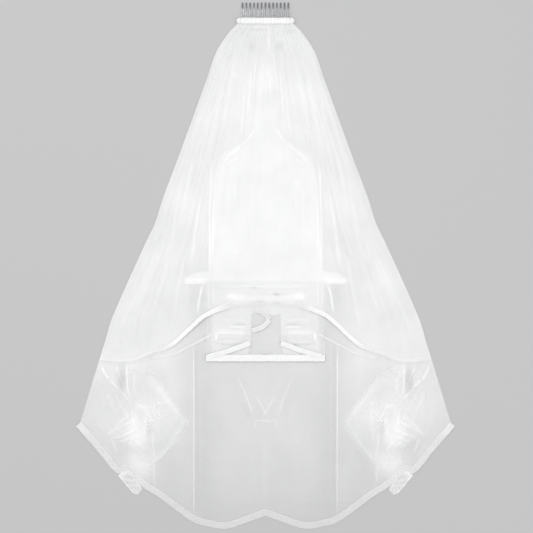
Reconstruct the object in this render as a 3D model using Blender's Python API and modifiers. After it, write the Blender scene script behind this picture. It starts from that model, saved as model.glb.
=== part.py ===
"""Two-tier bridal veil on a wire comb, laid out flat on its back.

Metres, +Z up. The comb points along +Y, the veil spreads towards -Y, and the
middle of its length and width lies over the origin, with the cloth on z = 0.
Distances down the veil are drops, measured from the gathers at the comb.
"""
import math
from bisect import bisect_right
from collections import namedtuple

import bmesh
import bpy

COLLECTION = "bridal_veil"

# Driving sizes
TOTAL_LENGTH = 0.8364
COMB_TIP_Y = TOTAL_LENGTH / 2
TOOTH_LENGTH = 0.0239
BINDING_DEPTH = 0.0111
SEAM_GAP = 0.0003
BINDING_FRONT_Y = COMB_TIP_Y - TOOTH_LENGTH
BINDING_BACK_Y = BINDING_FRONT_Y - BINDING_DEPTH
GATHER_Y = BINDING_BACK_Y - SEAM_GAP
RIBBON_WIDTH = 0.010
TULLE_WALL = 0.0012
RIBBON_WALL = 0.0010

# Comb
TOOTH_COUNT = 13
TOOTH_PITCH = 0.00607
WIRE_RADIUS = 0.00055
TIP_BEND = 0.00075
TOOTH_SPREAD = 0.0015
SPINE_RADIUS = 0.0008
SPINE_LENGTH = 0.081
COMB_LEVEL = 0.0024
LEG_POINTS = (0.35, 0.68)
TIP_ANGLES = (180, 135, 90)
BASE_ANGLES = (240, 300)

# Binding strip that wraps the comb's spine
BINDING_LENGTH = 0.0922
BINDING_HEIGHT = 0.0048
BINDING_CORNER = 0.0013
CORNER_BEVEL = 0.3
BINDING_WALL = 0.0010
BINDING_TUCKS = 10
BINDING_TUCK_DEPTH = 0.0004

# Levels of the cloth above the fold that it lies on
ON_CLOTH = TULLE_WALL + SEAM_GAP
ON_RIBBON = RIBBON_WALL + SEAM_GAP
LAYER_STEP = 0.0018
STACK_RISE = 0.0042
STACK_SETTLE = 0.36
STACK_SLOPE = 0.035
STACK_START = 0.012
STACK_FULL = 0.050
SETTLE_START = 0.424
SETTLE_END = 0.444
ON_FOLD = 2 * ON_CLOTH
ON_FOLD_RIBBON = ON_FOLD + ON_RIBBON

Station = namedtuple("Station", "drop half_width")
HemPoint = namedtuple("HemPoint", "x drop")
Fold = namedtuple("Fold", "u spread height first last")
SideSection = namedtuple("SideSection", "drop inner outer loft")
Strip = namedtuple("Strip", "name width level path")

# Half width of the veil as it lies, by drop from the comb
OUTLINE = [
    Station(0.000, 0.0455),
    Station(0.010, 0.0560),
    Station(0.028, 0.0692),
    Station(0.047, 0.0800),
    Station(0.085, 0.0930),
    Station(0.200, 0.1345),
    Station(0.276, 0.1630),
    Station(0.314, 0.1750),
    Station(0.352, 0.1930),
    Station(0.467, 0.2440),
    Station(0.505, 0.2555),
    Station(0.581, 0.2790),
    Station(0.620, 0.2905),
    Station(0.640, 0.2973),
]
FLARE_BELOW_OUTLINE = 0.30

# Hem of the long tier, from the middle notch to the side corner
LONG_HEM = [
    HemPoint(0.0000, 0.7800),
    HemPoint(0.0326, 0.7918),
    HemPoint(0.0644, 0.8011),
    HemPoint(0.1041, 0.7942),
    HemPoint(0.1153, 0.7894),
    HemPoint(0.1360, 0.7751),
    HemPoint(0.1677, 0.7513),
    HemPoint(0.1932, 0.7354),
    HemPoint(0.2218, 0.7100),
    HemPoint(0.2345, 0.7131),
    HemPoint(0.2631, 0.6797),
    HemPoint(0.2973, 0.6400),
]
HIGHEST_HEM = 0.30
LOWEST_HEM = 0.85
STEEPEST_HEM = 1.3

# Hem of the short tier, an arch over the middle
SHORT_HEM = [
    HemPoint(0.0000, 0.4468),
    HemPoint(0.0485, 0.4492),
    HemPoint(0.0723, 0.4555),
    HemPoint(0.0962, 0.4659),
    HemPoint(0.1120, 0.4786),
    HemPoint(0.1280, 0.4937),
    HemPoint(0.1518, 0.5136),
    HemPoint(0.1836, 0.5245),
    HemPoint(0.2154, 0.5360),
    HemPoint(0.2640, 0.5334),
]

# Soft folds that run from the comb, at u across each half of the veil
LONG_FOLDS = [
    Fold(0.10, 0.080, 0.0016, 0.030, 0.400),
    Fold(0.24, 0.080, 0.0020, 0.020, 0.420),
    Fold(0.45, 0.070, 0.0020, 0.040, 0.500),
    Fold(0.60, 0.070, 0.0028, 0.060, 0.500),
    Fold(0.75, 0.080, 0.0042, 0.040, 0.500),
    Fold(0.91, 0.060, 0.0036, 0.030, 0.560),
]
SHORT_FOLDS = [
    Fold(0.07, 0.060, 0.0020, 0.010, 0.330),
    Fold(0.19, 0.060, 0.0025, 0.005, 0.380),
    Fold(0.32, 0.060, 0.0025, 0.005, 0.430),
    Fold(0.44, 0.060, 0.0026, 0.060, 0.560),
    Fold(0.53, 0.050, 0.0034, 0.110, 0.620),
    Fold(0.63, 0.050, 0.0042, 0.020, 0.640),
    Fold(0.74, 0.050, 0.0034, 0.080, 0.640),
    Fold(0.84, 0.050, 0.0046, 0.020, 0.640),
    Fold(0.94, 0.050, 0.0038, 0.010, 0.640),
]
FOLD_FADE = 0.080

# Gathers of the short tier at the comb
GATHER_WAVES = 8
GATHER_HEIGHT = 0.0016
GATHER_HOLD = 0.036
GATHER_LENGTH = 0.120
GATHER_SWAY = 0.2
GATHER_SWAYS = 7
PINCHED_SHARE = 0.45
PINCHED_LENGTH = 0.030

# The short tier's middle, folded on itself under the arch
LOWER_STACK = [
    Station(0.060, 0.011),
    Station(0.130, 0.017),
    Station(0.175, 0.024),
    Station(0.193, 0.050),
    Station(0.208, 0.077),
    Station(0.235, 0.083),
    Station(0.400, 0.092),
    Station(0.535, 0.095),
]
UPPER_STACK = [
    Station(0.066, 0.009),
    Station(0.130, 0.014),
    Station(0.175, 0.020),
    Station(0.193, 0.046),
    Station(0.208, 0.072),
    Station(0.235, 0.079),
    Station(0.392, 0.090),
    Station(0.396, 0.1185),
    Station(0.412, 0.1295),
]

# Where the folded middle presses the long tier flat
PRESSED = [
    Station(0.010, 0.020),
    Station(0.110, 0.034),
    Station(0.150, 0.088),
    Station(0.360, 0.105),
    Station(0.380, 0.142),
    Station(0.430, 0.142),
    Station(0.470, 0.110),
    Station(0.535, 0.107),
]

# Drops of the folded middle's rows, closest where its outline turns
LOWER_STACK_ROWS = [
    0.060, 0.095, 0.130, 0.155, 0.175, 0.193, 0.208, 0.235,
    0.275, 0.315, 0.357, 0.400, 0.440, 0.480, 0.520, 0.525, 0.535,
]
UPPER_STACK_ROWS = [
    0.066, 0.100, 0.130, 0.155, 0.175, 0.193, 0.208, 0.235,
    0.275, 0.315, 0.357, 0.392, 0.396, 0.412,
]
STACK_COLUMNS = 12
NOTCH_HALF_WIDTH = 0.0235
NOTCH_TOP = 0.482
NOTCH_BOTTOM = 0.5215
NOTCH_CUTTER_DEPTH = 0.020

# Flat stretches of ribbon on the folded middle, along paths of (x, drop)
MIDDLE_STRIPS = [
    Strip("middle_ribbon_inner", 0.0090, ON_FOLD, [(-0.0660, 0.4330), (0.0660, 0.4330)]),
    Strip("middle_ribbon_tab_left", 0.0085, ON_FOLD, [(-0.0770, 0.4965), (-0.0250, 0.4965)]),
    Strip("middle_ribbon_tab_right", 0.0085, ON_FOLD, [(0.0250, 0.4965), (0.0770, 0.4965)]),
    Strip(
        "middle_ribbon_turn_left", 0.0085, ON_FOLD_RIBBON,
        [(-0.0890, 0.5285), (-0.0600, 0.5200), (-0.0245, 0.5080)],
    ),
    Strip(
        "middle_ribbon_turn_right", 0.0085, ON_FOLD_RIBBON,
        [(0.0245, 0.5080), (0.0600, 0.5200), (0.0890, 0.5285)],
    ),
    Strip("middle_ribbon_zigzag_upper", 0.0060, ON_FOLD, [(-0.0200, 0.4580), (0.0085, 0.4690)]),
    Strip("middle_ribbon_zigzag_lower", 0.0060, ON_FOLD_RIBBON, [(-0.0130, 0.4775), (0.0085, 0.4690)]),
]

# The long tier's doubled side folds, row by row down the left or right side
SIDE_SECTIONS = [
    SideSection(0.540, 0.2050, 0.2250, 0.0000),
    SideSection(0.552, 0.1800, 0.2200, 0.0015),
    SideSection(0.573, 0.1630, 0.2200, 0.0030),
    SideSection(0.594, 0.1490, 0.2215, 0.0040),
    SideSection(0.613, 0.1345, 0.2280, 0.0048),
    SideSection(0.633, 0.1220, 0.2410, 0.0046),
    SideSection(0.652, 0.1345, 0.2470, 0.0040),
    SideSection(0.671, 0.1470, 0.2370, 0.0030),
    SideSection(0.688, 0.1610, 0.2200, 0.0012),
]
SIDE_FOLD_COLUMNS = 9
SIDE_FOLD_RIPPLE = 0.25

# The long tier's ribbon, turned under past its hem, in rows of (x, drop); None is on the hem
TURN_ROWS = [
    [(0.2343, None), (0.2280, None), (0.2222, None)],
    [(0.2239, 0.7350), (0.2140, 0.7290), (0.2065, None)],
    [(0.2139, 0.7508), (0.2043, 0.7535), (0.1936, None)],
]
TURN_GAP = 0.00042

# The second layer of the short tier's ribbon, below the arch
UNDER_RIBBON_WIDTH = 0.0060
UNDER_RIBBON_PATH = [(0.1870, 0.5420), (0.1560, 0.5300), (0.1300, 0.5270), (0.1060, 0.5120)]

# Rows of each tier, as shares of the way from the gathers to its ribbon
LONG_ROWS = [
    0.0, 0.013, 0.036, 0.065, 0.11, 0.17, 0.24, 0.32,
    0.40, 0.48, 0.56, 0.64, 0.72, 0.80, 0.88, 1.0,
]
SHORT_ROWS = [
    0.0, 0.020, 0.055, 0.10, 0.16, 0.24, 0.33, 0.42, 0.52,
    0.62, 0.72, 0.82, 0.91, 1.0,
]
COLUMN_STEP = 0.042

# Colours: name, colour, roughness, metallic
FINISHES = {
    "tulle": ((0.93, 0.93, 0.93), 0.85, 0.0),
    "satin": ((0.96, 0.96, 0.96), 0.40, 0.0),
    "silver_wire": ((0.78, 0.79, 0.80), 0.22, 1.0),
}


def clear_scene():
    for thing in list(bpy.data.objects):
        bpy.data.objects.remove(thing, do_unlink=True)


def make_collection(name):
    group = bpy.data.collections.new(name)
    bpy.context.scene.collection.children.link(group)
    return group


def finish_material(name):
    """The material of one finish, made once."""
    material = bpy.data.materials.get(name)
    if material is None:
        colour, roughness, metallic = FINISHES[name]
        material = bpy.data.materials.new(name)
        material.use_nodes = True
        shader = material.node_tree.nodes["Principled BSDF"]
        shader.inputs["Base Color"].default_value = (*colour, 1.0)
        shader.inputs["Roughness"].default_value = roughness
        shader.inputs["Metallic"].default_value = metallic
    return material


def smooth_step(low, high, value):
    share = min(1.0, max(0.0, (value - low) / (high - low)))
    return share * share * (3 - 2 * share)


def straight_value(table, key):
    """Value of a two-column table at key, in straight runs."""
    keys = [row[0] for row in table]
    if key <= keys[0]:
        return table[0][1]
    if key >= keys[-1]:
        return table[-1][1]
    i = bisect_right(keys, key) - 1
    share = (key - keys[i]) / (keys[i + 1] - keys[i])
    return table[i][1] + share * (table[i + 1][1] - table[i][1])


def curved_value(table, key):
    """Value of a two-column table at key, on a smooth curve through its rows."""
    keys = [row[0] for row in table]
    values = [row[1] for row in table]
    if key <= keys[0]:
        return values[0]
    if key >= keys[-1]:
        return values[-1]
    i = bisect_right(keys, key) - 1

    def slope(k):
        before = max(k - 1, 0)
        after = min(k + 1, len(keys) - 1)
        return (values[after] - values[before]) / (keys[after] - keys[before])

    span = keys[i + 1] - keys[i]
    t = (key - keys[i]) / span
    start = (1 + 2 * t) * (1 - t) ** 2 * values[i] + t * (1 - t) ** 2 * span * slope(i)
    end = t * t * (3 - 2 * t) * values[i + 1] - t * t * (1 - t) * span * slope(i + 1)
    return start + end


def half_width(drop):
    """Half width of the veil at a drop, flaring on below the side corners."""
    beyond = max(0.0, drop - OUTLINE[-1].drop)
    return curved_value(OUTLINE, drop) + FLARE_BELOW_OUTLINE * beyond


def hem_on_ray(u, hem, reader):
    """Drop at which the ray u from the comb meets a hem."""
    low, high = HIGHEST_HEM, LOWEST_HEM
    for _ in range(40):
        middle = (low + high) / 2
        if middle < reader(hem, abs(u) * half_width(middle)):
            low = middle
        else:
            high = middle
    return (low + high) / 2


def fold_columns():
    """Rays from the comb, with one through each corner of the long hem."""
    corners = [point.x / half_width(point.drop) for point in LONG_HEM]
    corners[-1] = 1.0
    half = [0.0]
    for start, end in zip(corners, corners[1:]):
        count = math.ceil((end - start) / COLUMN_STEP)
        half += [start + (end - start) * (k + 1) / count for k in range(count)]
    return [-u for u in reversed(half[1:])] + half


def fold_height(folds, u, drop):
    """Height of a tier's folds at the ray u and a drop."""
    height = 0.0
    for fold in folds:
        across = abs(abs(u) - fold.u) / fold.spread
        if across < 1:
            rise = smooth_step(fold.first, fold.first + FOLD_FADE, drop)
            fall = 1 - smooth_step(fold.last - FOLD_FADE, fold.last, drop)
            height += fold.height * math.cos(math.pi * across / 2) ** 2 * rise * fall
    return height


def stack_cover(x, drop):
    """1 at the folded middle, falling to 0 beside it and above it."""
    edge = straight_value(PRESSED, drop)
    beside = 1 - smooth_step(edge, edge + STACK_SLOPE, abs(x))
    return beside * smooth_step(STACK_START, STACK_FULL, drop)


def long_level(x, drop):
    """Underside of the long tier, pressed flat under the folded middle."""
    folds = fold_height(LONG_FOLDS, x / half_width(drop), drop)
    return folds * (1 - stack_cover(x, drop))


def gather_height(u, drop):
    """Height of the short tier's gathers, pinched low where they are sewn."""
    sway = GATHER_SWAY * math.sin(GATHER_SWAYS * abs(u))
    wave = 0.5 + 0.5 * math.cos(2 * math.pi * (GATHER_WAVES * abs(u) + sway))
    fade = 1 - smooth_step(GATHER_HOLD, GATHER_LENGTH, drop)
    rise = PINCHED_SHARE + (1 - PINCHED_SHARE) * smooth_step(0.0, PINCHED_LENGTH, drop)
    return GATHER_HEIGHT * wave * fade * rise


def short_level(x, drop):
    """Underside of the short tier, over the long tier and the folded middle."""
    u = x / half_width(drop)
    settle = 1 - STACK_SETTLE * smooth_step(SETTLE_START, SETTLE_END, drop)
    level = long_level(x, drop) + LAYER_STEP
    level += stack_cover(x, drop) * STACK_RISE * settle
    return level + fold_height(SHORT_FOLDS, u, drop) + gather_height(u, drop)


def link_mesh(name, mesh, finish, group):
    body = bpy.data.objects.new(name, mesh)
    group.objects.link(body)
    body.data.materials.append(finish_material(finish))
    return body


def thicken(body, wall, side):
    """Solidify an open surface; side 1 thickens along its normals, -1 against them."""
    shell = body.modifiers.new("wall", "SOLIDIFY")
    shell.thickness = wall
    shell.offset = side
    return body


def grid_mesh(name, points):
    """A triangulated grid through rows of points, facing up on the whole."""
    rows, columns = len(points), len(points[0])
    bm = bmesh.new()
    bmesh.ops.create_grid(bm, x_segments=columns - 1, y_segments=rows - 1, size=0.5)
    places = []
    for vert in bm.verts:
        i = round((vert.co.x + 0.5) * (columns - 1))
        j = round((vert.co.y + 0.5) * (rows - 1))
        places.append((j, i))
        vert.co = points[j][i]
    bm.normal_update()
    if sum(face.normal.z * face.calc_area() for face in bm.faces) < 0:
        bmesh.ops.reverse_faces(bm, faces=bm.faces)
    bmesh.ops.triangulate(bm, faces=bm.faces, quad_method="FIXED")
    mesh = bpy.data.meshes.new(name)
    bm.to_mesh(mesh)
    bm.free()
    return mesh, places


def sheet(name, points, wall, finish, group):
    body = link_mesh(name, grid_mesh(name, points)[0], finish, group)
    body.data.shade_smooth()
    return thicken(body, wall, 1)


def moved_out(points, distance):
    """The rows of points moved along the grid's own normals."""
    mesh, places = grid_mesh("guide", points)
    lifted = [list(row) for row in points]
    for vert, (j, i) in zip(mesh.vertices, places):
        lifted[j][i] = tuple(vert.co + distance * vert.normal)
    bpy.data.meshes.remove(mesh)
    return lifted


def tier_points(columns, rows, hem, reader, level):
    """Points of a tier, whose last two rows are the edges of its ribbon."""
    hems = [hem_on_ray(u, hem, reader) for u in columns]
    places = [u * half_width(drop) for u, drop in zip(columns, hems)]
    grid = []
    for share in rows + [None]:
        line = []
        for i, u in enumerate(columns):
            before, after = max(i - 1, 0), min(i + 1, len(columns) - 1)
            slant = abs(hems[after] - hems[before]) / (places[after] - places[before])
            ribbon = RIBBON_WIDTH * math.hypot(1, min(slant, STEEPEST_HEM))
            drop = hems[i] if share is None else share * (hems[i] - ribbon)
            x = u * half_width(drop)
            line.append((x, GATHER_Y - drop, level(x, drop)))
        grid.append(line)
    return grid


def make_tier(name, columns, rows, hem, reader, level, group):
    """One tier of tulle and the satin ribbon along its hem."""
    points = tier_points(columns, rows, hem, reader, level)
    sheet(name, points, TULLE_WALL, "tulle", group)
    raised = moved_out(points, ON_CLOTH)
    sheet(name + "_ribbon", raised[-2:], RIBBON_WALL, "satin", group)


def stack_points(table, rows, lift):
    grid = []
    for drop in rows:
        half = straight_value(table, drop)
        line = []
        for k in range(STACK_COLUMNS + 1):
            x = half * (2 * k / STACK_COLUMNS - 1)
            line.append((x, GATHER_Y - drop, long_level(x, drop) + lift))
        grid.append(line)
    return grid


def flat_strip(name, path, width, level, group):
    """A flat stretch of ribbon along a path of (x, drop) points."""
    upper, lower = [], []
    for i, (x, drop) in enumerate(path):
        x0, drop0 = path[max(i - 1, 0)]
        x1, drop1 = path[min(i + 1, len(path) - 1)]
        run = math.hypot(x1 - x0, drop1 - drop0)
        across = ((drop1 - drop0) / run * width / 2, -(x1 - x0) / run * width / 2)
        upper.append((x + across[0], GATHER_Y - drop - across[1], level))
        lower.append((x - across[0], GATHER_Y - drop + across[1], level))
    return sheet(name, [upper, lower], RIBBON_WALL, "satin", group)


def cut_notch(body, cutters):
    """The gap in the folded middle between its two halves."""
    bpy.ops.mesh.primitive_cube_add(size=1)
    cutter = bpy.context.object
    cutter.name = "notch_cutter"
    for owner in list(cutter.users_collection):
        owner.objects.unlink(cutter)
    cutters.objects.link(cutter)
    cutter.dimensions = (2 * NOTCH_HALF_WIDTH, NOTCH_BOTTOM - NOTCH_TOP, NOTCH_CUTTER_DEPTH)
    cutter.location = (0, GATHER_Y - (NOTCH_TOP + NOTCH_BOTTOM) / 2, 0)
    cutter.hide_render = True
    cutter.display_type = "WIRE"
    cut = body.modifiers.new("notch", "BOOLEAN")
    cut.operation = "DIFFERENCE"
    cut.solver = "EXACT"
    cut.object = cutter


def make_middle(group, cutters):
    """The short tier's folded middle and the ribbon that shows on its hems."""
    lower = stack_points(LOWER_STACK, LOWER_STACK_ROWS, ON_CLOTH)
    upper = stack_points(UPPER_STACK, UPPER_STACK_ROWS, 2 * ON_CLOTH)
    cut_notch(sheet("middle_fold_lower", lower, TULLE_WALL, "tulle", group), cutters)
    sheet("middle_fold_upper", upper, TULLE_WALL, "tulle", group)
    sheet("middle_ribbon_hem", moved_out(lower, ON_CLOTH)[-2:], RIBBON_WALL, "satin", group)
    sheet("middle_ribbon_upper", moved_out(upper, ON_CLOTH)[-2:], RIBBON_WALL, "satin", group)
    for strip in MIDDLE_STRIPS:
        flat_strip(strip.name, strip.path, strip.width, strip.level, group)


def make_side_fold(side, hand, group):
    """The long tier's corner, turned over and doubled on one side."""
    grid = []
    for section in SIDE_SECTIONS:
        line = []
        for k in range(SIDE_FOLD_COLUMNS + 1):
            share = k / SIDE_FOLD_COLUMNS
            x = side * (section.inner + share * (section.outer - section.inner))
            ripple = SIDE_FOLD_RIPPLE * math.sin(3 * math.pi * share) ** 2
            swell = math.sin(math.pi * share) + ripple
            level = long_level(x, section.drop) + ON_CLOTH + section.loft * swell
            line.append((x, GATHER_Y - section.drop, level))
        grid.append(line)
    sheet("long_tier_side_fold_" + hand, grid, TULLE_WALL, "tulle", group)


def make_hem_turn(side, hand, group):
    """The end of the long tier's ribbon, turned under beyond the side hem."""
    rows = []
    for row in TURN_ROWS:
        line = []
        for x, drop in row:
            if drop is None:
                drop = straight_value(LONG_HEM, x) + TURN_GAP
            line.append((side * x, GATHER_Y - drop, 0.0))
        rows.append(line)
    sheet("long_tier_turn_" + hand, rows, 2 * RIBBON_WALL, "satin", group)


def make_under_ribbon(side, hand, group):
    """The second layer of the short tier's ribbon, just below the arch."""
    path = [(side * x, drop) for x, drop in UNDER_RIBBON_PATH]
    level = max(long_level(x, drop) for x, drop in path) + ON_CLOTH
    flat_strip("short_tier_under_ribbon_" + hand, path, UNDER_RIBBON_WIDTH, level, group)


def tooth_wire_points():
    """One wire bent up and down through every tooth of the comb."""
    base_y = BINDING_BACK_Y + BINDING_WALL + 2 * SEAM_GAP + 2 * SPINE_RADIUS + WIRE_RADIUS
    base_bend = TOOTH_PITCH / 2 - TOOTH_SPREAD
    leg_start = base_y + base_bend
    leg_end = COMB_TIP_Y - WIRE_RADIUS - TIP_BEND

    def level(y):
        share = max(0.0, (y - BINDING_FRONT_Y) / (COMB_TIP_Y - WIRE_RADIUS - BINDING_FRONT_Y))
        return COMB_LEVEL - (COMB_LEVEL - WIRE_RADIUS) * min(1.0, share) ** 2

    points = []
    for tooth in range(TOOTH_COUNT):
        centre = (tooth - (TOOTH_COUNT - 1) / 2) * TOOTH_PITCH
        outline = [(-TOOTH_SPREAD, leg_start)]
        for share in LEG_POINTS:
            y = leg_start + share * (leg_end - leg_start)
            outline.append((-TOOTH_SPREAD + share * (TOOTH_SPREAD - TIP_BEND), y))
        for degrees in TIP_ANGLES:
            turn = math.radians(degrees)
            outline.append((TIP_BEND * math.cos(turn), leg_end + TIP_BEND * math.sin(turn)))
        outline += [(-x, y) for x, y in reversed(outline[:-1])]
        points += [(centre + x, y) for x, y in outline]
        if tooth < TOOTH_COUNT - 1:
            joint = centre + TOOTH_PITCH / 2
            for degrees in BASE_ANGLES:
                turn = math.radians(degrees)
                x = joint + base_bend * math.cos(turn)
                points.append((x, leg_start + base_bend * math.sin(turn)))
    return [(x, y, level(y)) for x, y in points]


def wire(name, points, radius, resolution, group):
    curve = bpy.data.curves.new(name, "CURVE")
    curve.dimensions = "3D"
    curve.bevel_depth = radius
    curve.bevel_resolution = resolution
    curve.use_fill_caps = True
    spline = curve.splines.new("POLY")
    spline.points.add(len(points) - 1)
    for slot, point in zip(spline.points, points):
        slot.co = (*point, 1.0)
    return link_mesh(name, curve, "silver_wire", group)


def make_comb(group):
    wire("comb_teeth", tooth_wire_points(), WIRE_RADIUS, 1, group)
    spine_y = BINDING_BACK_Y + BINDING_WALL + SEAM_GAP + SPINE_RADIUS
    ends = [(side * SPINE_LENGTH / 2, spine_y, COMB_LEVEL) for side in (-1, 1)]
    wire("comb_spine", ends, SPINE_RADIUS, 2, group)


def make_binding(group):
    """A strip folded round the spine, open towards the teeth."""
    corner = BINDING_CORNER
    bevel = CORNER_BEVEL * corner
    profile = [
        (BINDING_DEPTH, 0.0),
        (corner, 0.0),
        (bevel, bevel),
        (0.0, corner),
        (0.0, BINDING_HEIGHT - corner),
        (bevel, BINDING_HEIGHT - bevel),
        (corner, BINDING_HEIGHT),
        (BINDING_DEPTH, BINDING_HEIGHT),
    ]
    count = 2 * BINDING_TUCKS
    rows = []
    for k in range(count + 1):
        x = BINDING_LENGTH * (k / count - 0.5)
        tuck = BINDING_TUCK_DEPTH if k % 2 else 0.0
        line = []
        for y, z in profile:
            pull = tuck * y / BINDING_DEPTH
            line.append((x, BINDING_BACK_Y + y - pull, z))
        rows.append(line)
    bm = bmesh.new()
    bmesh.ops.create_grid(bm, x_segments=len(profile) - 1, y_segments=count, size=0.5)
    for vert in bm.verts:
        i = round((vert.co.x + 0.5) * (len(profile) - 1))
        j = round((vert.co.y + 0.5) * count)
        vert.co = rows[j][i]
    bm.normal_update()
    lowest = min(bm.faces, key=lambda face: face.calc_center_median().z)
    if lowest.normal.z > 0:
        bmesh.ops.reverse_faces(bm, faces=bm.faces)
    mesh = bpy.data.meshes.new("comb_binding")
    bm.to_mesh(mesh)
    bm.free()
    body = link_mesh("comb_binding", mesh, "satin", group)
    thicken(body, BINDING_WALL, -1).modifiers["wall"].use_even_offset = True


def make_veil():
    clear_scene()
    veil = make_collection(COLLECTION)
    cutters = make_collection(COLLECTION + "_cutters")
    columns = fold_columns()
    make_tier("long_tier", columns, LONG_ROWS, LONG_HEM, straight_value, long_level, veil)
    make_tier("short_tier", columns, SHORT_ROWS, SHORT_HEM, curved_value, short_level, veil)
    make_middle(veil, cutters)
    for side, hand in ((-1, "left"), (1, "right")):
        make_side_fold(side, hand, veil)
        make_hem_turn(side, hand, veil)
        make_under_ribbon(side, hand, veil)
    make_comb(veil)
    make_binding(veil)


make_veil()
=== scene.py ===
"""The two-tier bridal veil on its wire comb, dressed for the render.

Metres, in the frame of the CAD model: the comb points along +Y, the cloth lies
on z = 0. Distances down the veil are drops, measured from the gathers at the
comb. Each sheet of cloth is one thin surface. Its points carry thread_share, the
share of light that the cloth stops there (a density, below), and a whiteness
share that sets how white its colour is: painted highlight on its creases and
folds, painted shade in its troughs and gaps.
"""

import math
from collections import namedtuple

import bpy
import numpy as np
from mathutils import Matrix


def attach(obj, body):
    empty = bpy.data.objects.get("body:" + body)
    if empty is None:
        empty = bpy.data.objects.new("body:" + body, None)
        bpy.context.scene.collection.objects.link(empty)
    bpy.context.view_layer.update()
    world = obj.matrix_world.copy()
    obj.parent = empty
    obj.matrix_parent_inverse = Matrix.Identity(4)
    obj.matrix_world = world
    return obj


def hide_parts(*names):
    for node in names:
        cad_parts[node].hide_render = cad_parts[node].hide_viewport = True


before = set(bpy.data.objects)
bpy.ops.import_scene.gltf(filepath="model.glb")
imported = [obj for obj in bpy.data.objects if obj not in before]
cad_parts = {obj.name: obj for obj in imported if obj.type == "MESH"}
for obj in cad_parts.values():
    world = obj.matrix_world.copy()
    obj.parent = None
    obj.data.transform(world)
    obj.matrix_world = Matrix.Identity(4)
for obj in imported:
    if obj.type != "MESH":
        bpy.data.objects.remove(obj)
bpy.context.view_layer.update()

# The photograph, and where the veil starts in the frame
PHOTO_PIXEL = 0.00159
PHOTO_PIXELS = 533
GATHER_Y = 0.3829

# The comb's satin binding
BINDING_BACK_Y = 0.3832
BINDING_DEPTH = 0.0111
BINDING_LENGTH = 0.0922
BINDING_HEIGHT = 0.0048
BINDING_GIRTH = 0.030
BINDING_ROW = 0.60
BINDING_SQUARE = 0.55
SHADOW_DOT_PITCH = 0.0040

# Layers and how they settle on each other
HALF_WALL = 0.0006
ON_CLOTH = 0.0015
ON_LONG_TIER = 0.0006
LAYER_STEP = 0.0018
STACK_RISE = 0.0042
STACK_SETTLE = 0.36
STACK_SLOPE = 0.035
STACK_TOP = (0.012, 0.050)
HEM_SINK = 0.30
HEM_SETTLE = 0.060

# Tiers
FLARE_BELOW_OUTLINE = 0.30
TUCKED_IN = 0.002
HEM_SEARCH = (0.30, 0.85)
LONG_ROWS = 331
SHORT_ROWS = 271
SHORT_COLUMNS = 301
HEM_POINTS = 420
ROLL_START = 0.975
NET_PITCH = 0.0011
NET_SHIFT = 0.013

# Folds and creases
FOLD_FADE = 0.080
FOLD_EASE = 0.45
LONG_PLEATS = (13, 0.14)
SHORT_PLEATS = (11, 0.17)
CREASE_X = 0.1141
CREASE_START = 0.43
CREASE_COLUMN = 0.40
CREASE_BOW = 0.04
BOWED_LENGTH = 0.15
LONGEST_FADE = 0.035

# The gap in the folded middle
WINDOW_TOP = 0.4590
WINDOW_BOTTOM = 0.5215
WINDOW_HALF = 0.0235
STACK_COLUMNS = 141

# The turned corners
CORNER_DROPS = (0.536, 0.733)
CORNER_ROWS = 181
CORNER_COLUMNS = 131
UNDER_FOLD = 0.0015
FOLD_BAND = 0.0060
FOLD_BAND_WIDTH = 0.0050
FOLD_GONE = 0.0035

# Ribbons and stitches
RIBBON_WIDTH = 0.010
STITCHES = 14
STITCH_STEP = 0.00607
THREAD_RADIUS = 0.00022
STITCH_INSET = 0.0014
STITCH_LENGTH = 0.0014

# Floor and camera
FLOOR_SIZE = 6.0
CAMERA_HEIGHT = 3.0
SENSOR_WIDTH = 36.0

Station = namedtuple("Station", "drop half_width")
HemPoint = namedtuple("HemPoint", "x drop")
Fold = namedtuple("Fold", "u spread height first last")
Crease = namedtuple("Crease", "x0 drop0 x1 drop1 width lift density")
Patch = namedtuple("Patch", "x drop wide tall density")
Edge = namedtuple("Edge", "drop x")
Tone = namedtuple("Tone", "drop density")
Rise = namedtuple("Rise", "drop height")
Wave = namedtuple("Wave", "x drop start")

# How many of a row's first values are written in millimetres
MILLIMETRES = {Station: 2, HemPoint: 2, Edge: 2, Rise: 2, Tone: 1, Crease: 6, Patch: 4}


def table(kind, *rows):
    """The rows as named values, their lengths in metres."""
    count = MILLIMETRES.get(kind, 0)
    return [kind(*(value / 1000 for value in row[:count]), *row[count:]) for row in rows]


# Half width of the veil as it lies, by drop from the comb
OUTLINE = table(
    Station,
    (0, 45.5), (10, 56), (28, 69.2), (47, 80), (85, 93), (200, 134.5), (276, 163), (314, 175),
    (352, 193), (467, 244), (505, 255.5), (581, 279), (620, 290.5), (640, 297.3),
)

# Hem of the long tier, from the middle notch to the side corner
LONG_HEM = table(
    HemPoint,
    (0, 780), (32.6, 791.8), (64.4, 801.1), (104.1, 794.2), (115.3, 789.4), (136, 775.1),
    (167.7, 751.3), (193.2, 735.4), (221.8, 710), (234.5, 713.1), (263.1, 679.7), (297.3, 640),
)

# Hem of the short tier, an arch over the middle
SHORT_HEM = table(
    HemPoint,
    (0, 446.8), (48.5, 449.2), (72.3, 455.5), (96.2, 465.9), (112, 478.6), (128, 493.7),
    (151.8, 513.6), (183.6, 524.5), (215.4, 536), (264, 533.4),
)

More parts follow.
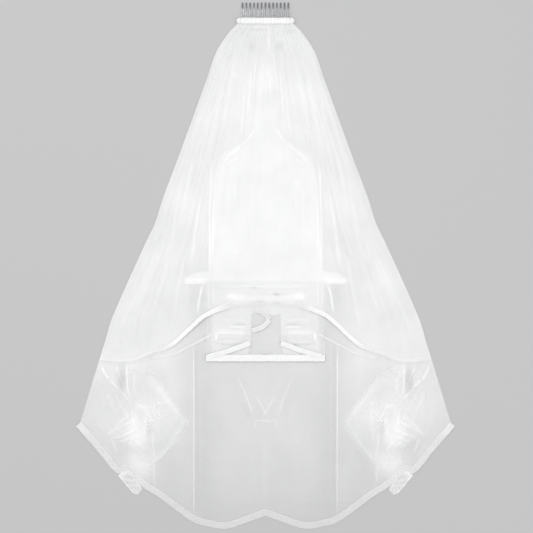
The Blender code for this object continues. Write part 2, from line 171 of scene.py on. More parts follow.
# Soft folds that run from the comb, at u across each half of the veil
LONG_FOLDS = table(
    Fold,
    (0.1, 0.08, 0.0016, 0.03, 0.4),
    (0.24, 0.08, 0.002, 0.02, 0.42),
    (0.45, 0.07, 0.002, 0.04, 0.5),
    (0.6, 0.07, 0.0028, 0.06, 0.5),
    (0.75, 0.08, 0.0042, 0.04, 0.5),
    (0.91, 0.06, 0.0036, 0.03, 0.56),
)
SHORT_FOLDS = table(
    Fold,
    (0.07, 0.06, 0.002, 0.01, 0.33),
    (0.19, 0.06, 0.0025, 0.005, 0.38),
    (0.32, 0.06, 0.0025, 0.005, 0.43),
    (0.44, 0.06, 0.0026, 0.06, 0.56),
    (0.53, 0.05, 0.0034, 0.11, 0.62),
    (0.63, 0.05, 0.0042, 0.02, 0.64),
    (0.74, 0.05, 0.0034, 0.08, 0.64),
    (0.84, 0.05, 0.0046, 0.02, 0.64),
    (0.94, 0.05, 0.0038, 0.01, 0.64),
)

# The short tier's middle, folded on itself under the arch
LOWER_STACK = table(
    Station,
    (60, 11), (130, 17), (175, 24), (193, 50), (208, 77), (235, 83), (400, 92), (535, 95),
)
UPPER_STACK = table(
    Station,
    (66, 9), (130, 14), (175, 20), (193, 46), (208, 72), (235, 79), (392, 90), (396, 118.5),
    (412, 129.5),
)
PRESSED = table(
    Station,
    (10, 20), (110, 34), (150, 88), (360, 105), (380, 142), (430, 142), (470, 110), (535, 107),
)

# Density of the net by drop, where nothing else changes it. The long tier's fall towards its hem
# is painted shade: the net thins there so that it looks darker.
LONG_TONES = table(
    Tone,
    (0, 0.6), (400, 0.6), (500, 0.57), (560, 0.55), (660, 0.52), (700, 0.45), (740, 0.38),
    (770, 0.3), (800, 0.22),
)
SHORT_TONES = table(
    Tone,
    (0, 0.5), (40, 0.52), (100, 0.66), (200, 0.6), (540, 0.58),
)

# Creases and softer folds of the long tier, repeated on the right
LONG_CREASES = table(
    Crease,
    (-114.4, 506, -113.7, 796, 1.2, 1, 0.24),
    (-109.8, 490, -109.2, 790, 3, -0.3, -0.07),
    (-46.1, 557, -18.3, 627.3, 1.1, 0.6, 0.15),
    (-15.6, 587.2, 7.8, 627.3, 1.1, 0.6, 0.14),
    (-19, 630, 10, 630, 1.1, 0.4, 0.08),
    (-18.3, 629, -15, 641, 1.1, 0.4, 0.08),
    (-40, 595, -24, 630, 5, -0.4, -0.04),
    (0, 650, 0, 770, 4, 0.3, 0.02),
    (-175.7, 640, -174.5, 754, 1.2, 0.8, 0.16),
    (-262, 540, -247.3, 567.3, 1.4, 1, 0.24),
    (-249, 564, -229.8, 583, 1.4, 1, 0.24),
    (-232, 580, -213.9, 604, 1.4, 1, 0.22),
    (-220, 536, -217.2, 594, 1.3, 0.8, 0.24),
    (-238, 540, -223, 580, 1.2, 0.6, 0.14),
    (-156, 535, -130, 730, 12, 1, 0.02),
    (-60, 660, -80, 780, 18, 0.8, 0.02),
    (-290, 560, -296, 638, 4, 1.2, 0.1),
    (-260, 665, -240, 695, 5, 0.8, 0.05),
    (-245, 655, -235, 682, 1.6, 0.6, 0.14),
    (-205, 190, -190, 450, 5, 0.8, 0.05),
)
LONG_PATCHES = table(
    Patch,
    (-95, 650, 30, 240, -0.05),
    (-145, 560, 30, 60, 0.06),
    (-150, 700, 40, 60, -0.04),
    (-245, 690, 30, 30, 0.03),
    (-198, 698, 22, 24, 0.25),
    (-258, 605, 30, 45, 0.08),
    (-228, 562, 6, 20, -0.2),
    (-215, 670, 4.5, 5, -0.08),
    (-215, 660, 14, 8, 0.05),
    (-220, 548, 25, 14, 0.06),
    (-120, 730, 12, 30, 0.05),
    (-245, 680, 20, 18, -0.05),
    (-98, 660, 10, 120, -0.04),
    (-113, 450, 20, 50, -0.05),
    (-112, 495, 14, 22, 0.06),
)

# Creases of the short tier, repeated on the right
SHORT_CREASES = table(
    Crease,
    (-101, 260, -118, 395, 2.4, 0.8, 0.061),
    (-107.5, 280, -124, 400, 2.2, 0.6, 0.046),
    (-115, 200, -140, 330, 3, 0.8, 0.053),
    (-131.8, 237.4, -148, 340, 2.6, 0.7, 0.053),
    (-151.8, 321.7, -210.7, 458.4, 5, 1, 0.049),
    (-140, 310, -185, 470, 4, 0.8, 0.046),
    (-129.6, 356.6, -151.8, 491.8, 3, 0.7, 0.053),
    (-170, 350, -238, 500, 3.5, 0.8, 0.038),
    (-64, 70, -95, 230, 4, 0.8, 0.038),
    (-45, 40, -70, 170, 3, 0.8, 0.038),
    (-76, 110, -112, 240, 3, 0.7, 0.038),
    (-23, 60, -30, 150, 1.8, 0.6, 0.053),
    (-12, 45, -20, 110, 1.4, 0.5, 0.061),
    (-4, 60, -8, 130, 1.4, 0.5, 0.053),
    (-33, 90, -40, 190, 2, 0.5, 0.046),
    (-17, 165, -30, 186, 1.8, 0.6, 0.07),
    (-29, 185, -69, 223, 2, 0.6, 0.055),
    (-40, 208, -62, 223, 1.6, 0.4, 0.04),
    (-60, 250, -64, 340, 4, 0.5, 0.023),
    (-40, 230, -43, 310, 3, 0.5, -0.023),
    (-85, 214, -88.5, 395, 1.6, 0.6, 0.12),
    (-80, 225, -83, 380, 1.6, 0.5, 0.07),
    (-90, 402, -89, 456, 1, 0.5, 0.09),
    (-84, 402, -83, 450, 1, 0.4, 0.07),
    (-135.5, 405.5, -88, 405.5, 4.6, 0.6, 0.12),
    (-135, 411, -89, 411.2, 1, 0.4, 0.12),
    (-113, 409, -112, 472, 7, -0.3, -0.055),
    (-101, 409, -100, 472, 7, -0.3, -0.055),
    (-98, 408, -108.5, 464, 1.5, 0.6, 0.28),
    (-86, 414.5, 86, 414.5, 2.4, 0.4, 0.03),
    (-64, 432, -42, 434, 6, 0.5, 0.08),
    (29, 433, 66, 432, 5, 0.3, 0.03),
)
# The same, on one side only: mostly painted shade in small gaps between the folds over the arch
CENTRE_PATCHES = table(
    Patch,
    (3, 118, 12, 20, -0.05),
    (3, 160, 12, 50, -0.03),
    (-4, 100, 2, 12, 0.05),
    (-19, 418, 5, 2, -0.14),
    (18, 429, 5.5, 2.6, -0.26),
    (-9, 439.5, 7, 1.8, -0.16),
    (19, 443, 8, 1.6, -0.16),
    (-12, 8.5, 12, 2, -0.14),
    (4.5, 30, 3, 18, 0.08),
)
SHORT_PATCHES = table(
    Patch,
    (-21.5, 35.5, 6, 7.5, -0.16),
    (-35.8, 11.5, 8, 6, -0.12),
    (-50, 36, 20, 30, -0.05),
    (-85, 200, 30, 60, -0.06),
    (-115, 445, 18, 45, -0.05),
    (-105, 300, 30, 70, 0.08),
    (-112, 340, 20, 25, -0.04),
    (-50, 428, 35, 16, 0.03),
    (-36, 437, 28, 8, 0.08),
)

# Creases of the folded middle, seen through the short tier
LOWER_CREASES = table(
    Crease,
    (-72, 470.5, -28, 471.5, 1.2, 0.4, 0.07),
    (-60, 480.5, -25, 482, 1.2, 0.5, 0.16),
    (-56, 477.2, -29, 477.8, 1.2, -0.3, -0.2),
    (-84, 495, -24, 495, 8.5, 0.3, 0.22),
    (-77.5, 489, -77.5, 503, 2, 0.3, 0.24),
    (-82, 506, -30, 508, 1.6, -0.3, -0.22),
)
UPPER_CREASES = table(
    Crease,
    (-84.5, 210, -90.5, 390, 1.2, 0.8, 0.3),
    (-80, 230, -86, 395, 1.2, 0.6, 0.2),
    (-70, 240, -74, 330, 3, 0.6, 0.1),
    (-50, 230, -50, 300, 4, 0.6, 0.08),
)

# The long tier's corner turned over on itself: its fold, and both its layers' free edges
TURNED_FOLD = table(
    Edge,
    (536, 208), (552, 180), (573, 163), (594, 149), (613, 134.5), (630, 123.2), (636, 124),
    (652, 134.5), (671, 147), (688, 161), (698, 174), (733, 176),
)
TURNED_UNDER = table(
    Edge,
    (536, 260), (560, 269), (600, 281), (628, 289), (640, 280), (650, 260), (662, 234), (672, 220),
    (690, 221.5), (698, 221.5), (712, 204), (724, 188), (733, 176.5),
)
TURNED_OVER = table(
    Edge,
    (536, 214), (552, 218), (573, 219), (594, 219), (613, 226), (633, 238), (652, 244), (671, 234),
    (688, 218), (700, 190), (733, 176.2),
)
TURNED_LOFT = table(
    Rise,
    (536, 0.2), (573, 1.8), (613, 3), (640, 2.8), (671, 1.8), (700, 0.6), (733, 0.2),
)
TURNED_CREASES = table(
    Crease,
    (-261, 540, -247, 566, 1.6, 0.8, 0.275),
    (-249, 563, -234, 579, 1.6, 0.8, 0.275),
    (-236, 577, -218.6, 595, 1.6, 0.8, 0.225),
    (-221, 550, -215.5, 596, 1.4, 0.8, 0.275),
    (-208, 540, -208, 590, 1.4, 0.5, 0.15),
    (-237, 540, -219.6, 588, 1.3, 0.5, 0.175),
    (-250, 540, -238, 572, 1.6, 0.5, 0.15),
    (-270, 556, -256, 578, 2, 0.6, 0.125),
    (-264, 542, -262, 572, 1.6, 0.6, 0.1),
    (-255, 580, -235, 625, 3.4, 1, 0.11),
    (-242, 585, -222, 620, 2.6, 0.8, 0.11),
    (-205, 602, -190, 610, 2, 0.8, 0.11),
    (-195, 599, -176, 635, 2.6, 1, 0.07),
    (-188, 620, -195, 660, 2.4, 0.8, 0.08),
    (-170, 600, -172, 670, 3, 0.8, 0.045),
    (-180, 640, -174, 695, 2, 0.6, 0.09),
    (-170, 583, -130, 626, 6, 0.8, 0.07),
    (-190, 560, -160, 590, 7, 0.6, 0.09),
    (-212, 615, -255, 654, 2.4, 1, 0.13),
    (-205, 627, -260, 657.5, 2, 0.8, 0.12),
    (-198, 639, -252, 662, 1.8, 0.8, 0.12),
    (-200, 652, -235, 666, 1.8, 0.8, 0.11),
    (-215, 605, -208, 640, 1.8, 0.6, 0.1),
    (-223, 605, -219, 630, 1.6, 0.5, 0.09),
    (-206, 660, -190, 680, 2.6, 0.8, 0.09),
)
TURNED_PATCHES = table(
    Patch,
    (-202, 618, 32, 34, 0.16),
    (-164, 615, 22, 30, 0.08),
    (-212, 640, 20, 18, 0.12),
    (-229, 562, 5.5, 22, -0.45),
    (-185, 645, 5, 18, -0.1),
    (-199, 620, 5, 10, -0.08),
    (-156, 655, 22, 30, -0.05),
    (-210, 576, 14, 32, 0.11),
    (-198, 654, 17, 12, 0.14),
    (-207, 664, 14, 9, 0.1),
    (-198, 585, 18, 22, -0.04),
    (-270, 605, 20, 30, -0.08),
)

# Waves of the painted crushed look, in radians a metre across and down the veil
CRUSH_WAVES = table(
    Wave,
    (1180, 440, 0.4), (1350, -260, 1.9), (820, 700, 3.1), (260, -760, 5.2), (1700, 900, 0.9),
    (-340, 560, 2.6),
)

# Where the turned corner's crushed creases are painted as light and shade, and how strongly
CRUSHED = table(
    Patch,
    (-184, 634, 11, 22, 0.085),
    (-168, 608, 11, 16, 0.06),
    (-215, 660, 18, 10, 0.08),
)

SIDES = ((-1, "left"), (1, "right"))


def smooth_step(low, high, value):
    share = np.clip((value - low) / (high - low), 0.0, 1.0)
    return share * share * (3 - 2 * share)


def bell(value, spread):
    """1 where the value is 0, dying away over the spread."""
    return np.exp(-((value / spread) ** 2))


def straight_value(rows, key):
    """Values of a two-column table at key, in straight runs."""
    columns = np.array(rows, float)
    return np.interp(key, columns[:, 0], columns[:, 1])


def curved_value(rows, key):
    """Values of a two-column table at key, on a smooth curve through its rows."""
    keys, values = np.array(rows, float).T
    at = np.arange(len(keys))
    before = np.maximum(at - 1, 0)
    after = np.minimum(at + 1, len(keys) - 1)
    slopes = (values[after] - values[before]) / (keys[after] - keys[before])
    key = np.clip(key, keys[0], keys[-1])
    i = np.clip(np.searchsorted(keys, key, side="right") - 1, 0, len(keys) - 2)
    span = keys[i + 1] - keys[i]
    t = (key - keys[i]) / span
    start = (1 + 2 * t) * (1 - t) ** 2 * values[i] + t * (1 - t) ** 2 * span * slopes[i]
    end = t * t * (3 - 2 * t) * values[i + 1] - t * t * (1 - t) * span * slopes[i + 1]
    return start + end


def half_width(drop):
    """Half width of the veil at a drop, flaring on below the side corners."""
    beyond = np.maximum(0.0, drop - OUTLINE[-1].drop)
    return curved_value(OUTLINE, drop) + FLARE_BELOW_OUTLINE * beyond


def on_ray(column, drop):
    """Where a column of the short tier lies: on a ray from the comb."""
    return column * half_width(drop)


def beside_crease(column, drop):
    """Where a column of the long tier lies: one column each side keeps to the long crease."""
    anchor = CREASE_X / half_width(np.maximum(drop, CREASE_START))
    size = np.abs(column)
    inner = anchor * size / CREASE_COLUMN
    outer = anchor + (1 - anchor) * (size - CREASE_COLUMN) / (1 - CREASE_COLUMN)
    return np.sign(column) * np.where(size < CREASE_COLUMN, inner, outer) * half_width(drop)


def hem_on_column(columns, where, hem):
    """Drop at which each column of a tier meets its hem."""
    low, high = (np.full(np.shape(columns), drop) for drop in HEM_SEARCH)
    for _ in range(40):
        middle = (low + high) / 2
        short = middle < curved_value(hem, np.abs(where(columns, middle)))
        low = np.where(short, middle, low)
        high = np.where(short, high, middle)
    return (low + high) / 2


def fold_height(folds, u, drop):
    """Height of a tier's broad folds at the ray u and a drop."""
    height = np.zeros(np.broadcast(u, drop).shape)
    for fold in folds:
        across = np.minimum(np.abs(np.abs(u) - fold.u) / fold.spread, 1.0)
        rise = smooth_step(fold.first, fold.first + FOLD_FADE, drop)
        fall = 1 - smooth_step(fold.last - FOLD_FADE, fold.last, drop)
        height += fold.height * np.cos(math.pi * across / 2) ** 2 * rise * fall
    return height


def crease_relief(creases, x, drop):
    """Height and density that a table of creases adds, on both sides of the veil. Besides the
    net's density it sets the colour: painted highlight on ridges, painted shade in troughs.
    """
    height = np.zeros(np.shape(x))
    density = np.zeros(np.shape(x))
    for side in (1, -1):
        for crease in creases:
            run_x = crease.x1 - crease.x0
            run_drop = crease.drop1 - crease.drop0
            length = math.hypot(run_x, run_drop)
            away_x = side * x - crease.x0
            away_drop = drop - crease.drop0
            along = (away_x * run_x + away_drop * run_drop) / length
            across = (away_x * run_drop - away_drop * run_x) / length
            bow = CREASE_BOW * length * bell(length, BOWED_LENGTH)
            bow = bow * np.sin(math.pi * np.clip(along / length, 0, 1))
            across = across - bow * math.sin(900 * crease.x0 + 700 * crease.drop1)
            fade = min(0.3 * length, LONGEST_FADE)
            ends = smooth_step(0, fade, along) * (1 - smooth_step(length - fade, length, along))
            swell = bell(across, crease.width) * ends
            height += crease.lift * swell
            density += crease.density * swell
    return height, density


def patch_density(patches, x, drop, sides=(1, -1)):
    """Density that soft-edged patches add, on both sides of the veil. Where it is added to a
    sheet's density it also lightens or darkens the cloth's colour: painted light and shade.
    """
    density = np.zeros(np.shape(x))
    for side in sides:
        for patch in patches:
            off_x = (side * x - patch.x) / patch.wide
            off_drop = (drop - patch.drop) / patch.tall
            density += patch.density * np.exp(-(off_x**2 + off_drop**2))
    return density


def stack_cover(x, drop):
    """1 at the folded middle, falling to 0 beside it and above it."""
    edge = straight_value(PRESSED, drop)
    beside = 1 - smooth_step(0.0, STACK_SLOPE, np.abs(x) - edge)
    return beside * smooth_step(*STACK_TOP, drop)


def ripples(x, drop):
    """Small uneven waves of limp cloth, about 1 at most."""
    wave = np.sin(61 * x + 23 * drop + 1.1 * np.sin(37 * drop))
    wave = wave + 0.8 * np.sin(97 * x - 41 * drop + 1.4 * np.sin(29 * x + 1))
    wave = wave + 0.6 * np.sin(173 * x + 71 * drop + 1.2 * np.sin(53 * drop + 2))
    return wave / 2.4


def pleats(u, drop, count, reach):
    """Gathers at the comb that merge and die away down the veil, from 0 to 1."""
    spread = u + 0.013 * np.sin(17 * u + 1) + 0.010 * np.sin(31 * u + 40 * drop)
    narrow = 0.5 + 0.5 * np.cos(2 * math.pi * count * spread)
    broad = 0.5 + 0.5 * np.cos(2 * math.pi * 0.5 * count * spread + 0.8)
    share = smooth_step(0.02, 0.45 * reach, drop)
    fade = 1 - smooth_step(0.25 * reach, reach, drop)
    return ((1 - share) * narrow**1.5 + share * broad**2) * fade


def crumple(x, drop):
    """Fine crushed creases of the turned corner, from about -1 to 1, painted into its density and
    colour as light and shade, without relief.
    """
    bent_x = x + 0.0026 * np.sin(310 * drop + 190 * x)
    bent_drop = drop + 0.0026 * np.sin(270 * x - 140 * drop + 1)
    wave = np.zeros(np.shape(x))
    for ripple in CRUSH_WAVES:
        wave = wave + np.sin(ripple.x * bent_x + ripple.drop * bent_drop + ripple.start)
    return np.abs(wave) / 1.6 - 1


def long_base(x, drop):
    """Middle of the long tier's net without its fine creases."""
    folds = FOLD_EASE * fold_height(LONG_FOLDS, x / half_width(drop), drop)
    return folds * (1 - stack_cover(x, drop)) + HALF_WALL


def past_short_hem(x, drop):
    """How far down from the short tier's hem a point lies."""
    return drop - curved_value(SHORT_HEM, np.abs(x))


def long_surface(x, drop):
    """Height, density and whiteness of the long tier, the whiteness being painted highlight on
    creases and painted shade in troughs.
    """
    u = x / half_width(drop)
    free = 1 - 0.8 * stack_cover(x, drop)
    lift, thick = crease_relief(LONG_CREASES, x, drop)
    gather = pleats(u, drop, *LONG_PLEATS)
    level = long_base(x, drop) + lift + 0.0003 * gather
    level = level + 0.0006 * (1 + ripples(x, drop)) * free * smooth_step(0.0, 0.1, drop)
    thick = thick + patch_density(LONG_PATCHES, x, drop)
    beside = smooth_step(0.115, 0.150, np.abs(x))
    below_hem = bell(past_short_hem(x, drop) - 0.008, 0.022) * beside
    # Painted light: a thin band on the long tier just under the turned corner's fold, denser and
    # whiter, lifting the shade that the corner casts there.
    painted_fold_light = bell(np.abs(x) - straight_value(TURNED_FOLD, drop) - UNDER_FOLD, 0.0020)
    painted_fold_light = painted_fold_light * smooth_step(0.545, 0.575, drop) * smooth_step(0.705, 0.690, drop)
    thick = thick + 0.09 * painted_fold_light
    tone = straight_value(LONG_TONES, drop) + 0.06 * (gather - 0.5) + 0.10 * below_hem
    return level, thick + tone, thick


def short_surface(x, drop):
    """Height, density and whiteness of the short tier, always clear of the long one; the whiteness
    is painted highlight on creases and painted shade in gaps.
    """
    u = x / half_width(drop)
    past_hem = past_short_hem(x, drop)
    settle = 1 - STACK_SETTLE * smooth_step(0.424, 0.444, drop)
    settle = settle - HEM_SINK * smooth_step(0.430, 0.448, drop)
    lift, thick = crease_relief(SHORT_CREASES, x, drop)
    gather = pleats(u, drop, *SHORT_PLEATS)
    level = long_base(x, drop) + LAYER_STEP + stack_cover(x, drop) * STACK_RISE * settle
    settled = 1 - 0.8 * smooth_step(-HEM_SETTLE, 0.0, past_hem)
    level = level + FOLD_EASE * fold_height(SHORT_FOLDS, u, drop) * settled + lift
    level = level + 0.0005 * (1 + ripples(x + 0.31, drop)) * smooth_step(0.0, 0.1, drop)
    near_comb = 1 - smooth_step(0.03, 0.11, drop)
    level = level + (0.0004 + 0.0004 * near_comb) * gather
    level = np.maximum(level, long_surface(x, drop)[0] + ON_LONG_TIER)
    thick = thick + patch_density(SHORT_PATCHES, x, drop)
    thick = thick + patch_density(CENTRE_PATCHES, x, drop, sides=(1,))
    panel = smooth_step(0.004, -0.003, np.abs(x) - straight_value(UPPER_STACK, drop))
    panel = panel * smooth_step(0.17, 0.20, drop) * (1 - smooth_step(0.404, 0.412, drop))
    bright = 0.050 * bell(drop - 0.16, 0.09) - 0.035 * smooth_step(0.55, 0.95, np.abs(u))
    thick = thick + np.maximum(0.062 * panel, bright)
    tone = straight_value(SHORT_TONES, drop) + 0.06 * (gather - 0.5) * near_comb
    loose = smooth_step(-0.0075, 0.0010, past_hem) * smooth_step(0.078, 0.045, np.abs(x))
    return level, (thick + tone) * (1 - 0.75 * loose), thick


def edge_roll(level, u, floor):
    """The level, rolled down to the floor at the veil's side edges."""
    return floor + (level - floor) * (1 - smooth_step(ROLL_START, 1.0, np.abs(u)))


# Meshes


def grid_object(name, x, drop, level, density, cloth, whiteness_and_light, keep=None):
    """An object of one quad grid, with its cloth coordinates, density and whiteness, the whiteness
    carrying painted light and shade.
    """
    rows, columns = np.shape(x)
    points = np.stack([x, GATHER_Y - drop, level], axis=-1).reshape(-1, 3)
    index = np.arange(rows * columns).reshape(rows, columns)
    quads = np.stack([index[:-1, :-1], index[1:, :-1], index[1:, 1:], index[:-1, 1:]], axis=-1)
    quads = quads.reshape(-1, 4)
    if keep is not None:
        quads = quads[keep[:-1, :-1].reshape(-1)]
    first, second, _, fourth = (points[quads[:, k]] for k in range(4))
    facing = np.cross(second - first, fourth - first)[:, 2].sum()
    if facing < 0:
        quads = quads[:, ::-1]
    mesh = bpy.data.meshes.new(name)
    mesh.from_pydata(points.tolist(), [], quads.tolist())
    shares = {
        "thread_share": np.clip(density, 0.02, 0.97),
        "whiteness_and_painted_light": np.clip(whiteness_and_light, -0.5, 0.5),
    }
    for label, values in shares.items():
        layer = mesh.attributes.new(label, "FLOAT", "POINT")
        layer.data.foreach_set("value", values.astype(np.float32).reshape(-1))
    corners = np.empty(len(mesh.loops), np.int32)
    mesh.loops.foreach_get("vertex_index", corners)
    flat = np.stack(cloth, axis=-1).reshape(-1, 2)[corners].astype(np.float32)
    mesh.uv_layers.new(name="cloth").data.foreach_set("uv", flat.reshape(-1))
    mesh.shade_smooth()
    body = bpy.data.objects.new(name, mesh)
    bpy.context.scene.collection.objects.link(body)
    return body


def place(body, material, replaced):
    """Give a piece its material and slot, in place of one node of the frame."""
    body.data.materials.append(material)
    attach(body, "root")
    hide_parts(replaced)
    return body


def smooth_path(points, step=0.0016):
    """Points along a smooth curve through a path of (x, drop), evenly spaced."""
    points = np.array(points, float)
    runs = np.hypot(*np.diff(points, axis=0).T)
    marks = np.concatenate([[0.0], np.cumsum(runs)])
    count = max(8, int(marks[-1] / step))
    at = np.linspace(0, marks[-1], count)
    return [curved_value(np.stack([marks, values], axis=-1), at) for values in points.T]


RIBBON_COLUMNS = np.array([-0.5, -0.44, -0.36, -0.24, -0.08, 0.08, 0.24, 0.36, 0.44, 0.5])
RIBBON_WAVE = 0.0002


def evened(values):
    """A running mean of seven values."""
    return np.convolve(np.pad(values, 3, mode="edge"), np.ones(7) / 7, "valid")


def ribbon(
    name, x, drop, width, level, share, crown=0.0004, seed=0.0, white=0.0, ruche=0.012
):
    """A ribbon along a path; share is how much of the light it stops, more along its edges."""

    def down(value):
        return (np.zeros(len(x)) + value)[:, None]

    run_x, run_drop = np.gradient(x), np.gradient(drop)
    if len(x) > 30:
        run_x, run_drop = evened(run_x), evened(run_drop)
    run = np.hypot(run_x, run_drop)
    out_x, out_drop = -run_drop / run, run_x / run
    flip = np.where(out_drop.sum() < 0, -1, 1)
    along = down(np.concatenate([[0.0], np.cumsum(np.hypot(np.diff(x), np.diff(drop)))]))
    across = RIBBON_COLUMNS[None, :]
    wide = down(width) * across
    sway = 0.00012 * np.sin(210 * along + 3 * seed) + 0.00010 * np.sin(530 * along + seed)
    grid_x = down(x) + flip * down(out_x) * (wide + sway)
    grid_drop = down(drop) + flip * down(out_drop) * (wide + sway)
    ripple = np.sin(160 * along + seed) + 0.7 * np.sin(410 * along + 2 * seed + 1)
    height = level(grid_x, grid_drop) + RIBBON_WAVE * (1 + ripple * (0.6 + across)) / 2
    height = height + crown * (1 - (2 * np.abs(across)) ** 4)
    stop = down(share) * (1 + 0.35 * smooth_step(0.38, 0.46, np.abs(across)))
    cloth = (along + 0 * across, wide + 0.5 * np.max(width))
    # Painted light and shade of puckers: they whiten and darken the ribbon's colour and change its
    # density, with no relief of their own.
    pucker = np.sin(610 * along + 9 * across + 3 * np.sin(83 * along + seed))
    pucker = pucker * (0.5 + 0.5 * np.sin(137 * along + 2 * seed))
    pucker = pucker + 0.6 * np.sin(1040 * along - 11 * across + 2 * np.sin(61 * along))
    ruched = down(ruche) * pucker
    whiter = down(white) + ruched
    return grid_object(name, grid_x, grid_drop, height, stop * (1 + ruched), cloth, whiter)


# Materials


def node(tree, kind, **settings):
    made = tree.nodes.new(kind)
    for name, value in settings.items():
        setattr(made, name, value)
    return made


def feed(tree, socket, value):
    """Give a socket a constant, or a link from another node."""
    if isinstance(value, (int, float, tuple)):
        socket.default_value = value
    else:
        tree.links.new(value, socket)


def feed_all(tree, made, **values):
    """Feed a node's sockets by name, with _ for each space."""
    for name, value in values.items():
        feed(tree, made.inputs[name.replace("_", " ")], value)


def math_node(tree, operation, *values):
    made = node(tree, "ShaderNodeMath", operation=operation)
    for slot, value in enumerate(values):
        feed(tree, made.inputs[slot], value)
    return made.outputs[0]


def vector_node(tree, operation, *values):
    made = node(tree, "ShaderNodeVectorMath", operation=operation)
    for slot, value in enumerate(values):
        feed(tree, made.inputs[slot], value)
    return made.outputs["Value" if operation == "DOT_PRODUCT" else "Vector"]


def ranged(tree, value, low, high, to_low, to_high, smooth=False):
    kind = "SMOOTHSTEP" if smooth else "LINEAR"
    made = node(tree, "ShaderNodeMapRange", interpolation_type=kind)
    feed_all(tree, made, Value=value, From_Min=low, From_Max=high, To_Min=to_low, To_Max=to_high)
    return made.outputs["Result"]


def noise(tree, vector, scale, detail, stretch=(1, 1, 1)):
    mapping = node(tree, "ShaderNodeMapping")
    feed_all(tree, mapping, Scale=stretch, Vector=vector)
    made = node(tree, "ShaderNodeTexNoise")
    feed_all(tree, made, Scale=scale, Detail=detail, Vector=mapping.outputs["Vector"])
    return made.outputs["Fac"]


def blended(tree, factor, low, high):
    """A colour between two, each a constant or another node's."""
    mix = node(tree, "ShaderNodeMix", data_type="RGBA")
    for slot, value in (("Factor", factor), (6, low), (7, high)):
        feed(tree, mix.inputs[slot], value)
    return mix.outputs[2]


def bumped(tree, shader, height, strength, distance):
    bump = node(tree, "ShaderNodeBump")
    feed_all(tree, bump, Strength=strength, Distance=distance, Height=height)
    feed_all(tree, shader, Normal=bump.outputs["Normal"])


def attribute(tree, name):
    return node(tree, "ShaderNodeAttribute", attribute_name=name).outputs["Fac"]


def cloth_place(tree):
    return node(tree, "ShaderNodeUVMap", uv_map="cloth").outputs["UV"]


def object_place(tree):
    return node(tree, "ShaderNodeTexCoord").outputs["Object"]


def separate(tree, vector):
    parts = node(tree, "ShaderNodeSeparateXYZ")
    feed(tree, parts.inputs[0], vector)
    return parts.outputs


def new_material(name):
    """A material, its node tree and its shader."""
    material = bpy.data.materials.new(name)
    material.use_nodes = True
    return material, material.node_tree, material.node_tree.nodes["Principled BSDF"]


def hexagon_net(tree, cloth):
    """1 on the threads of a net of hexagons, 0 in its meshes."""
    cell = (1.0, math.sqrt(3), 1.0)
    half = (0.5, math.sqrt(3) / 2, 0.0)
    far = (400.0, 400 * math.sqrt(3), 0.0)
    scaled = vector_node(tree, "DIVIDE", cloth, (NET_PITCH, NET_PITCH, 1.0))
    scaled = vector_node(tree, "ADD", scaled, far)
    first = vector_node(tree, "SUBTRACT", vector_node(tree, "MODULO", scaled, cell), half)
    shifted = vector_node(tree, "ADD", scaled, half)
    second = vector_node(tree, "SUBTRACT", vector_node(tree, "MODULO", shifted, cell), half)
    nearer = math_node(
        tree,
        "LESS_THAN",
        vector_node(tree, "DOT_PRODUCT", first, first),
        vector_node(tree, "DOT_PRODUCT", second, second),
    )
    pick = node(tree, "ShaderNodeMix", data_type="VECTOR")
    for slot, value in (("Factor", nearer), (4, second), (5, first)):
        feed(tree, pick.inputs[slot], value)
    parts = separate(tree, vector_node(tree, "ABSOLUTE", pick.outputs[1]))
    slanted = math_node(tree, "MULTIPLY_ADD", parts["Y"], math.sqrt(3) / 2, 0.0)
    slanted = math_node(tree, "MULTIPLY_ADD", parts["X"], 0.5, slanted)
    edge = math_node(tree, "MAXIMUM", slanted, parts["X"])
    return ranged(tree, edge, 0.38, 0.48, 0.0, 1.0, smooth=True)


def tulle_material():
    material, tree, shader = new_material("white_tulle")
    cloth = cloth_place(tree)
    threads = hexagon_net(tree, cloth)
    cloud = ranged(tree, noise(tree, object_place(tree), 16, 3), 0.3, 0.7, 0.95, 1.05)
    streak = noise(tree, cloth, 1, 2, stretch=(70, 6, 1))
    streak = ranged(tree, streak, 0.3, 0.7, 0.992, 1.008)
    alpha = attribute(tree, "thread_share")
    for factor in (cloud, streak, ranged(tree, threads, 0.0, 1.0, 0.92, 1.20)):
        alpha = math_node(tree, "MULTIPLY", alpha, factor)
    soft = ranged(tree, cloud, 0.95, 1.05, 0.46, 0.64)
    # Painted light and shade: the net's colour is whiter on its creases and folds and darker in
    # its troughs and gaps, by the whiteness share, over a random cloud of tone.
    white = math_node(tree, "MULTIPLY_ADD", attribute(tree, "whiteness_and_painted_light"), 2.4, soft)
    tint = blended(tree, white, (0.875, 0.880, 0.892, 1.0), (0.992, 0.992, 0.990, 1.0))
    feed_all(
        tree,
        shader,
        Alpha=math_node(tree, "MINIMUM", alpha, 1.0),
        Base_Color=tint,
        Roughness=ranged(tree, threads, 0.0, 1.0, 0.88, 0.70),
        Sheen_Weight=0.15,
        Sheen_Roughness=0.45,
        Specular_IOR_Level=0.25,
    )
    bumped(tree, shader, threads, 0.12, 0.0002)
    return material


